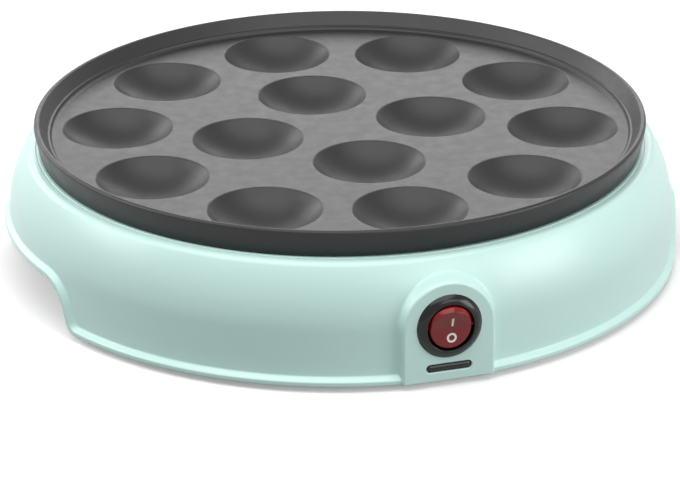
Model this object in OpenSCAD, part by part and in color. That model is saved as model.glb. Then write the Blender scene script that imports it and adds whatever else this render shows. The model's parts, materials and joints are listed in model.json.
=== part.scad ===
// Poffertjes maker: a round countertop cooker with a cast plate of small wells
// in a moulded housing, a rocker switch on the front and a cord gland at the back.
// Millimetres. +Z is up, the origin is on the table under the plate's centre,
// the switch faces -Y and the two hand-holds lie at -X and +X.

/* [Housing] */
// Outer radius of the upright lower wall
housing_r = 123; // [121:0.5:127]
// Height of the ledge under the plate's band, above the table
top_z = 45.2; // [44:0.1:48]
// Wall thickness of the moulding
wall_t = 2.5; // [2:0.1:3]
// Gap between the housing's lower edge and the table
edge_z = 2.2; // [1.8:0.1:3]
// Height where the wall starts to lean inwards
bend_z = 22; // [20:0.5:24]
// Radius of the bend in the wall
bend_r = 28; // [22:1:34]
// Lean of the shoulder from upright, in degrees
shoulder_lean = 22.5; // [20:0.5:24]
// Width of the ledge that shows outside the plate
ledge_show = 4.4; // [3.5:0.1:5.5]
// Width of the ledge that is hidden under the plate
ledge_under = 3; // [2.5:0.1:4]
// Width and depth of the shadow groove on the ledge
groove_w = 0.5; // [0.4:0.1:0.8]
// Distance of the shadow groove from the foot of the plate's band
groove_gap = 0.7; // [0.5:0.1:1.5]

/* [Lip and hand-holds] */
// How far the lip stands proud of the wall
lip_proud = 2; // [1.5:0.1:2.5]
// Height of the lip
lip_h = 3.2; // [2.5:0.1:4]
// Half width of a hand-hold at the lower edge
hold_half_w = 46; // [42:0.5:50]
// Height of a hand-hold above the lower edge
hold_h = 17; // [15:0.5:18.5]
// Radius of a hand-hold's upper corners
hold_corner_r = 12; // [8:0.5:14]
// Lean of a hand-hold's sides, in degrees
hold_lean = 21; // [15:0.5:24]
// Radius of a hand-hold's lower corners
hold_foot_r = 5.5; // [4.5:0.5:7]

/* [Switch panel] */
// Half width of the panel's flat face
panel_half_w = 17; // [16:0.1:18]
// Lean of the panel's sides, in degrees
panel_lean = 20; // [10:1:30]
// Height of the switch's axis
switch_z = 22.8; // [22:0.1:24]
// How far the panel's round top is centred below the switch's axis
panel_drop = 2.2; // [2:0.1:3]
// Length of the latch slot under the switch
slot_w = 16.5; // [14:0.1:18]
// Height of the latch slot
slot_h = 3; // [2.5:0.1:3.5]
// Height of the latch slot's axis above the tray's floor
slot_rise = 1.9; // [1.7:0.1:2.4]

/* [Cooking plate] */
// Air gap between the plate's band and the housing's ledge
plate_gap = 0.4; // [0.3:0.1:1]
// Height of the plate's outer band
band_h = 9.8; // [9:0.1:12]
// How far the band leans out from bottom to top
band_lean = 1.6; // [1:0.1:2]
// Width of the rounded rim
rim_w = 2.4; // [2:0.1:3]
// Depth of the rim's inner ledge below the rim
rim_ledge_drop = 4.6; // [4:0.1:5]
// How far the rim's inner wall leans in down to its ledge
rim_inner_lean = 2.5; // [2:0.1:3]
// Width of the rim's inner ledge
rim_ledge_w = 1; // [0.8:0.1:1.5]
// Depth of the cooking surface below the rim
floor_drop = 6; // [5.5:0.1:6.5]
// Thickness of the plate between the wells
plate_t = 3.4; // [3:0.1:3.8]
// Radius of a well at the cooking surface
well_r = 21; // [20:0.1:21.2]
// Depth of a well
well_depth = 9; // [8:0.1:9.5]
// Radius of a well's rounded edge
well_edge_r = 1.2; // [0.8:0.1:1.6]
// Wall thickness under a well
well_shell = 2.6; // [2.2:0.1:3]
// Flat width between the outer wells and the rim
well_margin = 2.2; // [1.8:0.1:3]
// Least width between the outer and the inner ring of wells
ring_web = 4.9; // [4:0.1:6]

/* [Heating] */
// Diameter of the tubular heating element
element_d = 6.5; // [6:0.1:7]
// Half angle of the gap between the element's legs, in degrees
element_gap = 20; // [18:1:24]
// Room between the wells and the heat shield
dome_gap = 3.8; // [3.4:0.1:4.4]
// Thickness of the heat shield
shield_t = 0.8; // [0.6:0.1:1]
// Height of the heat shield's turned-up rim
shield_rim_h = 6; // [4:0.5:8]
// Radius of the thermostat
thermostat_r = 8; // [7:0.1:8.5]
// Height of the thermostat
thermostat_h = 7; // [6:0.1:8]

/* [Base] */
// Thickness of the base tray
tray_t = 2; // [1.6:0.1:2.5]
// How far the tray sits above the housing's lower edge
tray_recess = 1.2; // [0.8:0.1:1.6]
// Gap between the tray and the housing's wall
tray_gap = 0.5; // [0.3:0.1:0.8]
// Height of the tray's upstand
upstand_h = 4; // [3.8:0.1:5]
// Depth of the pockets behind the hand-holds
pocket_depth = 25; // [22:0.5:28]
// Radius of a rubber foot
foot_r = 7; // [6:0.1:8]

/* [Switch] */
// Radius of the switch's barrel
barrel_r = 9.9; // [9.8:0.1:10.2]
// Radius of the switch's bezel
bezel_r = 11.6; // [11:0.1:12.5]
// Thickness of the bezel
bezel_t = 2; // [1.6:0.1:2.4]
// Depth of the switch behind the panel
switch_depth = 20; // [19.5:0.5:24]
// Tilt of the rocker to each side, in degrees
rocker_tilt = 10; // [8:0.5:11]

/* [Gland] */
// Radius of the cord gland's bore
gland_bore_r = 3.5; // [3:0.1:4]
// Radius of the cord gland's neck
gland_r = 6; // [5.5:0.1:7]
// Height of the cord gland's axis
gland_z = 18.5; // [18:0.1:20]

/* [Fasteners] */
// Shank radius of the plate's screws
plate_screw_r = 2; // [1.8:0.1:2.2]
// Shank radius of the small screws
small_screw_r = 1.5; // [1.3:0.1:1.6]
// Radial clearance of a screw in its thread
thread_clear = 0.05; // [0.03:0.01:0.08]
// Radial clearance of a screw in a plain hole
hole_clear = 0.2; // [0.15:0.05:0.4]
// Running clearance of a pivot
pivot_clear = 0.05; // [0.03:0.01:0.08]
// Clearance of pieces that seat on one another
seat_clear = 0.2; // [0.15:0.05:0.3]

/* [Hidden] */
$fn = 96;
// Overlap of solids that are joined
eps = 0.01;
// How far a cut runs past the face that it opens
over = 1;
// Longer than anything that is cut or cropped
big = 400;
// Direction of the switch
front = -90;

// Wall of the housing
bend_end_z = bend_z + bend_r * sin(shoulder_lean);
bend_end_r = housing_r - bend_r * (1 - cos(shoulder_lean));
top_r = bend_end_r - (top_z - bend_end_z) * tan(shoulder_lean);
lip_r = housing_r + lip_proud;
inner_r = housing_r - wall_t;
panel_y = lip_r;
panel_depth = 10;
hold_steps = 12;

// Plate, with its two rings of wells
outer_n = 10;
inner_n = 4;
band_r = top_r - ledge_show;
opening_r = band_r - ledge_under;
band_z = top_z + plate_gap;
rim_z = band_z + band_h;
plate_r = band_r + band_lean;
rim_round = rim_w / 2;
rim_ledge_r = plate_r - rim_w - rim_inner_lean;
floor_fillet = floor_drop - rim_ledge_drop;
floor_r = rim_ledge_r - rim_ledge_w - floor_fillet;
surface_z = rim_z - floor_drop;
under_z = surface_z - plate_t;
outer_ring_r = floor_r - well_margin - well_r;
inner_ring_r = outer_ring_r - 2 * well_r - ring_web;
well_pitch = 360 / outer_n;
well_sphere_r = (well_r * well_r + well_depth * well_depth) / (2 * well_depth) - well_edge_r;
well_centre_h = well_sphere_r - well_depth;
dome_z = surface_z - well_depth - well_shell;
dome_sphere_r = well_sphere_r + well_shell;

// Places between two outer wells, counted from the front
function between(k) = front + well_pitch * (k + 0.5);
fix_angles = [for (k = [1, 3, 6, 8]) between(k)];
clip_angles = [for (k = [2, 6, 9]) between(k)];
earth_angle = between(5);
element_gap_angle = between(4);
fix_out = 15.6;
fix_r = outer_ring_r + fix_out;

// Heating
element_r = element_d / 2;
leg_thin = 0.05;
leg_r = element_r - leg_thin;
leg_lap = 2;
element_ring_r = outer_ring_r - well_r - ring_web / 2;
element_z = under_z - seat_clear - element_r;
shield_z = dome_z - dome_gap;
shield_bottom_z = shield_z - shield_t;
shield_clear = 2.3;
shield_r = opening_r - shield_clear;
shield_hole_r = 16;
bush_flange_h = 1.4;
bush_flange_w = 2;
bush_end_gap = 0.15;
element_bend_r = element_z - shield_z - bush_flange_h - bush_end_gap;
bush_wall = 1.6;
bush_r = element_r + seat_clear / 2 + bush_wall;
bush_neck_h = 3;
leg_out = 7;
leg_end_z = shield_bottom_z - leg_out;
clip_t = 1;
clip_w = 8;
clip_reach = 11.5;
clip_z = element_z - element_r - seat_clear;
clip_boss_r = 4;
clip_thread = 5;
clip_over = 1;
terminal_pin = 5;
terminal_pin_r = 1.6;
thermostat_ear = 12;
thermostat_ear_w = 7;
thermostat_flange_t = 1;
thermostat_tab_at = 4;
thermostat_angles = [45, 225];
thermostat_skin = 1;
thermostat_thread = plate_t - thermostat_skin;
thermostat_room = min(
    inner_ring_r - thermostat_r,
    norm([inner_ring_r, 0] - thermostat_ear * [cos(thermostat_angles[0]), sin(thermostat_angles[0])])
        - thermostat_ear_w / 2
) - seat_clear;
thermostat_dome_h = sqrt(max(0, pow(dome_sphere_r, 2) - pow(thermostat_room, 2)));
thermostat_drop = max(plate_t, thermostat_dome_h - well_centre_h);
thermostat_z = surface_z - thermostat_drop;
earth_rise = 5;
earth_z = shield_z + earth_rise;
earth_thread = 7;
fuse_r = 2.5;
fuse_len = 22;
fuse_out = 45;
fuse_at = [-fuse_out, 0];
fuse_strap_t = 0.8;
fuse_strap_w = 8;
strap_lap = 0.3;
fuse_tab = 6;
fuse_lead = 5;
fuse_lead_r = 0.6;
rivet_r = 1.2;
rivet_head_h = 1;
rivet_out = fuse_r + seat_clear + fuse_strap_t + fuse_tab / 2;

// Base
tray_z = edge_z + tray_recess;
tray_top_z = tray_z + tray_t;
tray_r = inner_r - tray_gap;
upstand_z = tray_top_z + upstand_h;
slot_z = tray_top_z + slot_rise;
pocket_x = housing_r - pocket_depth;
pocket_side = 1.5;
pocket_half_w = hold_half_w + pocket_side;
pocket_over = 0.6;
pocket_top_z = edge_z + hold_h + pocket_over;
foot_in = 14;
foot_at_r = tray_r - foot_in;
foot_angles = [45, 135, 225, 315];
foot_stem_r = 2.6;
foot_edge = 0.8;
foot_barb = 0.6;
foot_barb_h = 2;
tongue_clear = 0.25;
vent_n = 12;
vent_w = 4;
vent_from = 42;
vent_len = 26;

// Fastening posts and lugs
head_h = 2.4;
head_over = 1.7;
post_r = 4.5;
post_in = 12;
post_at_r = tray_r - post_in;
post_angles = [72, 108, 252, 288];
post_z = 26;
post_screw_len = 14;
thread_end = 1;
rib_t = 2.5;
rib_over = 1;
washer_t = 1.6;
lug_t = 4;
lug_r = 6;
lug_z = shield_bottom_z - washer_t;
plate_boss_r = 5;
plate_thread = 9;
lug_gusset_h = 14;
lug_gusset_in = 2;
lug_gusset_foot = 1;

// Switch, in its own frame: z points out of the panel and y points up
barrel_wall = 1.4;
barrel_inner_r = barrel_r - barrel_wall;
rocker_side_gap = 0.6;
rocker_r = barrel_inner_r - rocker_side_gap;
rocker_swing_gap = 0.25;
rocker_swing_r = barrel_inner_r - rocker_swing_gap;
pivot_sink = 2.15;
pivot_out = bezel_t - pivot_sink;
pivot_r = 1;
pivot_bite = 0.75;
pivot_len = barrel_inner_r + pivot_bite;
pivot_end_gap = 0.15;
rocker_dip = 1.86;
rocker_back = 3.5;
rocker_stem_r = 1.2;
rocker_stem = 8.6;
slope = tan(rocker_tilt);
rocker_edge = (sqrt(pow(rocker_swing_r, 2) * (1 + slope * slope) - rocker_dip * rocker_dip)
    - rocker_dip * slope) / (1 + slope * slope);
rocker_edge_out = rocker_dip + rocker_edge * slope;
rocker_reach = pivot_out + rocker_edge_out * cos(rocker_tilt) + rocker_edge * sin(rocker_tilt);
barrel_depth = 14;
barrel_floor = -barrel_depth;
lever_t = 0.8;
stem_gap = 0.35;
lever_pin_r = 0.8;
lever_out = pivot_out - rocker_stem - stem_gap - lever_pin_r;
lever_ratio = 0.6;
lever_tilt = rocker_tilt * lever_ratio;
lever_half = 5.5;
lever_half_w = 3.5;
ear_t = 1.5;
ear_gap = 0.5;
contact_down = 4.2;
contact_at = -contact_down;
contact_r = 1.2;
contact_h = 0.6;
contact_gap = 0.3;
contact_top = lever_out + (contact_at - contact_r) * sin(lever_tilt)
    - (lever_t / 2 + contact_h) * cos(lever_tilt) - contact_gap;
lever_pin_short = 0.2;
lever_pin_len = lever_half_w + ear_gap + ear_t - lever_pin_short;
bezel_crown_r = 2.6;
bezel_crown_at = (barrel_inner_r + bezel_r) / 2;
wing_out = 0.8;
wing_w = 6;
wing_h = 3;
tab_w = 4.8;
tab_t = 0.8;
tab_len = 7;
tab_root = 1;
tab_pitch = 5;
tab_places = [-tab_pitch, 0, tab_pitch];
lamp_r = 1.5;
lamp_len = 8;
lamp_up = 4.2;
lamp_back = 1;

// Gland
gland_flange_w = 2;
gland_flange_r = gland_r + gland_flange_w;
gland_end_y = panel_y + rocker_reach;
gland_wall = 1.4;
gland_nose_r = gland_bore_r + gland_wall;
gland_flange_t = 1.6;
gland_inner_t = 2.4;
gland_seat = 0.6;
gland_seat_y = inner_r - gland_seat;
gland_back_y = gland_seat_y - gland_inner_t;
gland_face_y = housing_r + thread_clear;

// Terminal block
block_w = 26;
block_d = 14;
block_h = 12;
block_in = 28;
block_at_y = tray_r - block_in;
pole_pitch = 8;
pole_screw_r = 2;
pole_wire_r = 1.6;
pole_screw_y = 4;
pole_places = [-pole_pitch, 0, pole_pitch];
block_skin = 0.4;
block_thread = block_h / 2 - pole_wire_r - block_skin;
pole_screw_sink = 1;

// Shared shapes

// Copies its children round the axis, each turned to face outwards
module around(r, angles) {
    for (a = angles)
        rotate([0, 0, a])
            translate([r, 0, 0])
                children();
}

// A pan-head screw that points up from the underside of its head
module screw(r, length) {
    translate([0, 0, -head_h])
        cylinder(r = r + head_over, h = head_h);
    translate([0, 0, -eps])
        cylinder(r = r, h = length + eps);
}

// The frame of the switch on the panel's face
module on_panel() {
    translate([0, -panel_y, switch_z])
        rotate([90, 0, 0])
            children();
}

// The rocker's pivot in the frame of the switch
module at_rocker(tilt) {
    translate([0, 0, pivot_out])
        rotate([tilt, 0, 0])
            children();
}

// The contact lever's pivot in the frame of the switch
module at_lever(tilt) {
    translate([0, 0, lever_out])
        rotate([tilt, 0, 0])
            children();
}

// A pin along X, centred, that reaches half its length to each side
module cross_pin(r, half) {
    rotate([0, 90, 0])
        cylinder(r = r, h = 2 * half, center = true);
}

// A bar along X with round ends
module stadium(length, height) {
    square([length - height, height], center = true);
    for (s = [-1, 1])
        translate([s * (length - height) / 2, 0])
            circle(d = height);
}

// Half section of the housing's wall, filled to the axis and inset by t
module wall_section(t, low, high) {
    end_r = housing_r - bend_r + (bend_r - t) * cos(shoulder_lean);
    end_z = bend_z + (bend_r - t) * sin(shoulder_lean);
    polygon([
        [0, low], [housing_r - t, low], [housing_r - t, bend_z], [end_r, end_z],
        [end_r - (high - end_z) * tan(shoulder_lean), high], [0, high]
    ]);
    intersection() {
        translate([housing_r - bend_r, bend_z])
            circle(r = bend_r - t);
        translate([housing_r - bend_r, bend_z])
            square([bend_r, end_z - bend_z]);
    }
}

// Points along an arc from angle a to angle b
function arc(centre, r, a, b, steps) = [
    for (k = [0:steps])
        centre + r * [cos(a + (b - a) * k / steps), sin(a + (b - a) * k / steps)]
];

// Outline of a hand-hold, wider and higher by grow, from the table up, with zero at the lower edge
module hold_outline(grow) {
    corner = hold_corner_r + grow;
    top = hold_h + grow;
    side = hold_half_w + grow / cos(hold_lean);
    corner_y = (side * cos(hold_lean) - corner - (top - corner) * sin(hold_lean)) / cos(hold_lean);
    foot_y = hold_half_w + hold_foot_r * (1 - sin(hold_lean)) / cos(hold_lean);
    half = concat(
        [[foot_y, -edge_z]],
        arc([foot_y, hold_foot_r], hold_foot_r - grow, 270, 180 + hold_lean, hold_steps),
        arc([corner_y, top - corner], corner, hold_lean, 90, hold_steps)
    );
    polygon(concat(half, [for (k = [len(half) - 1:-1:0]) [-half[k][0], half[k][1]]]));
}

// Both hand-holds as prisms along X, from from_x outwards
module hold_prisms(grow, from_x) {
    for (s = [0, 1])
        mirror([s, 0, 0])
            translate([from_x, 0, edge_z])
                rotate([90, 0, 90])
                    linear_extrude(lip_r - from_x + over)
                        hold_outline(grow);
}

// The switch panel's body, round at the top, with its face at face_y and sides that lean by lean
module panel_form(half_w, face_y, lean) {
    arch_z = switch_z - panel_drop;
    root_w = half_w + panel_depth * tan(lean);
    root_y = face_y - panel_depth;
    intersection() {
        translate([0, -root_y, arch_z])
            rotate([90, 0, 0])
                cylinder(r1 = root_w, r2 = half_w, h = panel_depth);
        translate([-big / 2, -big / 2, arch_z])
            cube(big);
    }
    translate([0, 0, edge_z])
        linear_extrude(arch_z - edge_z)
            polygon([[-half_w, -face_y], [half_w, -face_y], [root_w, -root_y], [-root_w, -root_y]]);
}

// Housing

// Wall of revolution with the switch panel, hollowed out under the ledge and its shadow groove
module housing_shell() {
    difference() {
        union() {
            rotate_extrude()
                difference() {
                    wall_section(0, edge_z, top_z);
                    translate([band_r + groove_gap, top_z - groove_w])
                        square([groove_w, big]);
                }
            panel_form(panel_half_w, panel_y, panel_lean);
        }
        rotate_extrude()
            union() {
                wall_section(wall_t, edge_z - over, top_z - wall_t);
                translate([0, edge_z])
                    square([opening_r, top_z]);
            }
    }
}

// Lip along the lower edge and over the hand-holds
module housing_lip() {
    intersection() {
        rotate_extrude()
            translate([inner_r + wall_t / 2, edge_z])
                square([wall_t / 2 + lip_proud, hold_h + lip_h + over]);
        union() {
            translate([0, 0, edge_z])
                cylinder(r = big, h = lip_h);
            hold_prisms(lip_h, pocket_x);
        }
    }
}

// Bracket inside the wall under each of the plate's screws, with its gusset
module plate_lug() {
    translate([0, 0, lug_z - lug_t])
        linear_extrude(lug_t)
            union() {
                circle(r = lug_r);
                translate([0, -lug_r])
                    square([housing_r, 2 * lug_r]);
            }
    translate([0, rib_t / 2, 0])
        rotate([90, 0, 0])
            linear_extrude(rib_t)
                polygon([
                    [lug_r + lug_gusset_in, lug_z - lug_t + eps], [housing_r, lug_z - lug_t + eps],
                    [housing_r, lug_z - lug_t - lug_gusset_h],
                    [inner_r - fix_r - lug_gusset_foot, lug_z - lug_t - lug_gusset_h]
                ]);
}

// Post for each of the tray's screws, with the web that ties it to the wall
module tray_post() {
    translate([0, 0, tray_top_z])
        cylinder(r = post_r, h = post_z - tray_top_z);
    translate([0, -rib_t / 2, upstand_z + rib_over])
        cube([housing_r, rib_t, post_z - upstand_z - rib_over]);
}

module housing() {
    color([0.72, 0.88, 0.83])
        difference() {
            union() {
                housing_shell();
                housing_lip();
                intersection() {
                    union() {
                        around(fix_r, fix_angles)
                            plate_lug();
                        around(post_at_r, post_angles)
                            tray_post();
                    }
                    rotate_extrude()
                        wall_section(wall_t / 2, edge_z, top_z - wall_t / 2);
                }
            }
            hold_prisms(0, pocket_x);
            panel_form(panel_half_w - wall_t, panel_y - wall_t, 0);
            on_panel() {
                translate([0, 0, -wall_t - over])
                    cylinder(r = barrel_r + seat_clear / 2, h = wall_t + 2 * over);
                translate([0, slot_z - switch_z, -wall_t - over])
                    linear_extrude(wall_t + 2 * over)
                        stadium(slot_w, slot_h);
            }
            around(fix_r, fix_angles)
                translate([0, 0, lug_z - lug_t - over])
                    cylinder(r = plate_screw_r + hole_clear, h = lug_t + 2 * over);
            around(post_at_r, post_angles)
                translate([0, 0, tray_top_z - over])
                    cylinder(r = small_screw_r + thread_clear, h = post_screw_len + thread_end + over);
            translate([0, inner_r - wall_t, gland_z])
                rotate([-90, 0, 0])
                    cylinder(r = gland_r + seat_clear / 2, h = 3 * wall_t);
        }
}

// Base

// Tongue at the tray's front that hooks into the slot under the switch
module tray_tongue() {
    reach = panel_y - tray_r - seat_clear * 2 + tray_t;
    translate([0, -tray_r + tray_t, slot_z])
        rotate([90, 0, 0])
            linear_extrude(reach)
                stadium(slot_w - 2 * tongue_clear, slot_h - 2 * tongue_clear);
}

// Space for the fingers behind each hand-hold, grown by t on every side, from low up
module finger_pockets(t, low) {
    for (s = [0, 1])
        mirror([s, 0, 0])
            translate([pocket_x - t, -pocket_half_w - t, low])
                cube([big, 2 * (pocket_half_w + t), pocket_top_z + t - low]);
}

module base_tray() {
    color([0.12, 0.12, 0.13])
        difference() {
            union() {
                translate([0, 0, tray_z])
                    cylinder(r = tray_r, h = tray_t);
                translate([0, 0, tray_z])
                    difference() {
                        cylinder(r = tray_r, h = tray_t + upstand_h);
                        translate([0, 0, -over])
                            cylinder(r = tray_r - tray_t, h = big);
                    }
                intersection() {
                    finger_pockets(tray_t, tray_z);
                    translate([0, 0, tray_z])
                        cylinder(r = tray_r, h = big);
                }
                tray_tongue();
            }
            finger_pockets(0, 0);
            around(foot_at_r, foot_angles)
                cylinder(r = foot_stem_r + seat_clear / 2, h = big);
            around(post_at_r, post_angles)
                cylinder(r = small_screw_r + hole_clear, h = big);
            translate([0, block_at_y, 0])
                cylinder(r = small_screw_r + hole_clear, h = big);
            around(vent_from, [for (k = [0:vent_n - 1]) k * 360 / vent_n])
                translate([vent_len / 2, 0, 0])
                    linear_extrude(big)
                        stadium(vent_len, vent_w);
        }
}

module rubber_feet() {
    color([0.08, 0.08, 0.08])
        around(foot_at_r, foot_angles) {
            rotate_extrude()
                difference() {
                    square([foot_r, tray_z]);
                    translate([foot_r - foot_edge, -eps])
                        polygon([[0, 0], [foot_edge + over, 0], [foot_edge + over, foot_edge + over]]);
                }
            translate([0, 0, tray_z - eps])
                cylinder(r = foot_stem_r, h = tray_t + 2 * eps);
            translate([0, 0, tray_top_z + seat_clear / 2])
                cylinder(r1 = foot_stem_r + foot_barb, r2 = foot_stem_r - foot_barb, h = foot_barb_h);
            translate([0, 0, tray_top_z])
                cylinder(r = foot_stem_r, h = seat_clear);
        }
}

module base_screws() {
    color("silver")
        around(post_at_r, post_angles)
            translate([0, 0, tray_z])
                screw(small_screw_r, tray_t + post_screw_len);
}

// Cooking plate

// Half section of the plate without its wells
module plate_section() {
    ledge_z = rim_z - rim_ledge_drop;
    crown_z = rim_z - rim_round;
    difference() {
        polygon([
            [0, under_z], [opening_r, under_z], [opening_r, band_z], [band_r, band_z],
            [plate_r, crown_z], [plate_r - rim_w, crown_z], [rim_ledge_r, ledge_z],
            [rim_ledge_r - rim_ledge_w, ledge_z], [floor_r, surface_z], [0, surface_z]
        ]);
        intersection() {
            translate([floor_r, ledge_z])
                circle(r = floor_fillet);
            translate([floor_r, surface_z])
                square(floor_fillet);
        }
    }
    intersection() {
        translate([plate_r - rim_round, crown_z])
            circle(r = rim_round);
        translate([plate_r - rim_w, crown_z])
            square([rim_w, rim_round]);
    }
}

// Hollow of one well with its rounded edge, cut down from the cooking surface
module well_cut() {
    lean = well_r / (well_sphere_r + well_edge_r);
    touch_r = well_sphere_r * lean;
    touch_h = well_centre_h - well_sphere_r * sqrt(1 - lean * lean);
    rotate_extrude() {
        intersection() {
            translate([0, well_centre_h])
                circle(r = well_sphere_r);
            translate([0, -big])
                square([big, big + touch_h]);
        }
        difference() {
            polygon([[0, touch_h], [touch_r, touch_h], [well_r, 0], [well_r, over], [0, over]]);
            translate([well_r, -well_edge_r])
                circle(r = well_edge_r);
        }
    }
}

// Cast underside of one well
module well_dome() {
    rotate_extrude()
        intersection() {
            translate([0, well_centre_h])
                circle(r = dome_sphere_r);
            translate([0, -big])
                square([big, big - plate_t / 2]);
        }
}

// Places its children at each well
module at_wells() {
    for (ring = [[outer_n, outer_ring_r], [inner_n, inner_ring_r]])
        for (k = [0:ring[0] - 1])
            rotate([0, 0, front + k * 360 / ring[0]])
                translate([ring[1], 0, surface_z])
                    children();
}

// A boss under the plate that ends at bottom_z
module plate_boss(r, bottom_z) {
    translate([0, 0, bottom_z])
        cylinder(r = r, h = under_z - bottom_z + plate_t / 2);
}

module cooking_plate() {
    color([0.2, 0.2, 0.21])
        difference() {
            union() {
                rotate_extrude()
                    plate_section();
                at_wells()
                    well_dome();
                around(fix_r, fix_angles)
                    plate_boss(plate_boss_r, shield_z);
                around(fix_r, [earth_angle])
                    plate_boss(plate_boss_r, earth_z);
                around(element_ring_r + clip_reach, clip_angles)
                    plate_boss(clip_boss_r, clip_z);
                plate_boss(thermostat_ear + thermostat_ear_w / 2, thermostat_z);
            }
            at_wells()
                well_cut();
            around(fix_r, fix_angles)
                translate([0, 0, shield_z - over])
                    cylinder(r = plate_screw_r + thread_clear, h = plate_thread + over);
            around(fix_r, [earth_angle])
                translate([0, 0, earth_z - over])
                    cylinder(r = plate_screw_r + thread_clear, h = earth_thread + over);
            around(element_ring_r + clip_reach, clip_angles)
                translate([0, 0, clip_z - over])
                    cylinder(r = small_screw_r + thread_clear, h = clip_thread + over);
            around(thermostat_ear, thermostat_angles)
                translate([0, 0, thermostat_z - over])
                    cylinder(r = small_screw_r + thread_clear, h = thermostat_thread + over);
        }
}

module plate_screws() {
    color("silver")
        around(fix_r, fix_angles)
            translate([0, 0, lug_z - lug_t])
                screw(plate_screw_r, shield_z - lug_z + lug_t + plate_thread - thread_end);
}

module plate_insulators() {
    color([0.45, 0.3, 0.18])
        around(fix_r, fix_angles)
            translate([0, 0, lug_z])
                difference() {
                    cylinder(r = lug_r, h = washer_t);
                    translate([0, 0, -over])
                        cylinder(r = plate_screw_r + hole_clear, h = washer_t + 2 * over);
                }
}

// Heating

// Places its children on the axes of the element's two legs
module at_legs() {
    for (s = [0, 1])
        rotate([0, 0, element_gap_angle])
            mirror([0, s, 0])
                rotate([0, 0, element_gap])
                    translate([element_ring_r, -element_bend_r, 0])
                        children();
}

module heating_element() {
    color([0.42, 0.4, 0.38])
        union() {
            rotate([0, 0, element_gap_angle + element_gap])
                rotate_extrude(angle = 360 - 2 * element_gap)
                    translate([element_ring_r, element_z])
                        circle(r = element_r);
            at_legs() {
                translate([0, element_bend_r, element_z - element_bend_r])
                    rotate([0, 90, 0])
                        rotate([0, 0, 180])
                            rotate_extrude(angle = 90)
                                translate([element_bend_r, 0])
                                    circle(r = leg_r);
                translate([0, element_bend_r, element_z])
                    rotate([-90, 0, 0])
                        cylinder(r = leg_r, h = leg_lap);
                translate([0, 0, leg_end_z])
                    cylinder(r = leg_r, h = element_z - element_bend_r - leg_end_z);
            }
        }
}

module element_clips() {
    color("silver")
        around(element_ring_r + clip_reach, clip_angles)
            difference() {
                translate([-clip_reach - element_r - clip_over, -clip_w / 2, clip_z - clip_t])
                    cube([clip_reach + element_r + clip_over + clip_w / 2, clip_w, clip_t]);
                translate([0, 0, clip_z - clip_t - over])
                    cylinder(r = small_screw_r + hole_clear, h = clip_t + 2 * over);
            }
}

module clip_screws() {
    color("silver")
        around(element_ring_r + clip_reach, clip_angles)
            translate([0, 0, clip_z - clip_t])
                screw(small_screw_r, clip_t + clip_thread - thread_end);
}

module element_bushes() {
    color("ivory")
        at_legs()
            difference() {
                union() {
                    translate([0, 0, shield_z])
                        cylinder(r = bush_r + bush_flange_w, h = bush_flange_h);
                    translate([0, 0, shield_z - bush_neck_h])
                        cylinder(r = bush_r, h = bush_neck_h + eps);
                }
                translate([0, 0, shield_z - bush_neck_h - over])
                    cylinder(r = element_r + seat_clear / 2, h = big);
            }
}

module element_terminals() {
    color("goldenrod")
        at_legs() {
            translate([0, 0, leg_end_z - terminal_pin])
                cylinder(r = terminal_pin_r, h = terminal_pin);
            translate([-tab_w / 2, -tab_t / 2, leg_end_z - terminal_pin - tab_len])
                cube([tab_w, tab_t, tab_len + tab_root]);
        }
}

module heat_shield() {
    color([0.75, 0.76, 0.78])
        difference() {
            union() {
                translate([0, 0, shield_bottom_z])
                    cylinder(r = shield_r, h = shield_t);
                translate([0, 0, shield_bottom_z])
                    difference() {
                        cylinder(r = shield_r, h = shield_rim_h);
                        translate([0, 0, -over])
                            cylinder(r = shield_r - shield_t, h = big);
                    }
            }
            translate([0, 0, shield_bottom_z - over])
                cylinder(r = shield_hole_r, h = big);
            around(fix_r, fix_angles)
                cylinder(r = plate_screw_r + hole_clear, h = big);
            at_legs()
                cylinder(r = bush_r + seat_clear / 2, h = big);
            at_rivets()
                cylinder(r = rivet_r + thread_clear, h = big);
        }
}

module thermostat() {
    color([0.85, 0.83, 0.78])
        union() {
            translate([0, 0, thermostat_z - thermostat_h])
                cylinder(r = thermostat_r, h = thermostat_h);
            difference() {
                translate([0, 0, thermostat_z - thermostat_flange_t])
                    linear_extrude(thermostat_flange_t)
                        rotate(thermostat_angles[0])
                            stadium(2 * thermostat_ear + thermostat_ear_w, thermostat_ear_w);
                around(thermostat_ear, thermostat_angles)
                    cylinder(r = small_screw_r + hole_clear, h = big);
            }
            for (s = [-1, 1])
                translate([s * thermostat_tab_at, 0, thermostat_z - thermostat_h - tab_len])
                    linear_extrude(tab_len + tab_root)
                        square([tab_t, tab_w], center = true);
        }
}

module thermostat_screws() {
    color("silver")
        around(thermostat_ear, thermostat_angles)
            translate([0, 0, thermostat_z - thermostat_flange_t])
                screw(small_screw_r, thermostat_flange_t + thermostat_thread - seat_clear);
}

// The thermal fuse's axis under the heat shield
module on_fuse() {
    translate([fuse_at.x, fuse_at.y, shield_bottom_z - fuse_r - seat_clear])
        rotate([90, 0, 0])
            children();
}

// Places its children at the two rivets of the fuse's clip
module at_rivets() {
    for (s = [-1, 1])
        translate([fuse_at.x + s * rivet_out, fuse_at.y, 0])
            children();
}

module thermal_fuse() {
    color("white")
        on_fuse() {
            cylinder(r = fuse_r, h = fuse_len, center = true);
            cylinder(r = fuse_lead_r, h = fuse_len + 2 * fuse_lead, center = true);
        }
}

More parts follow.
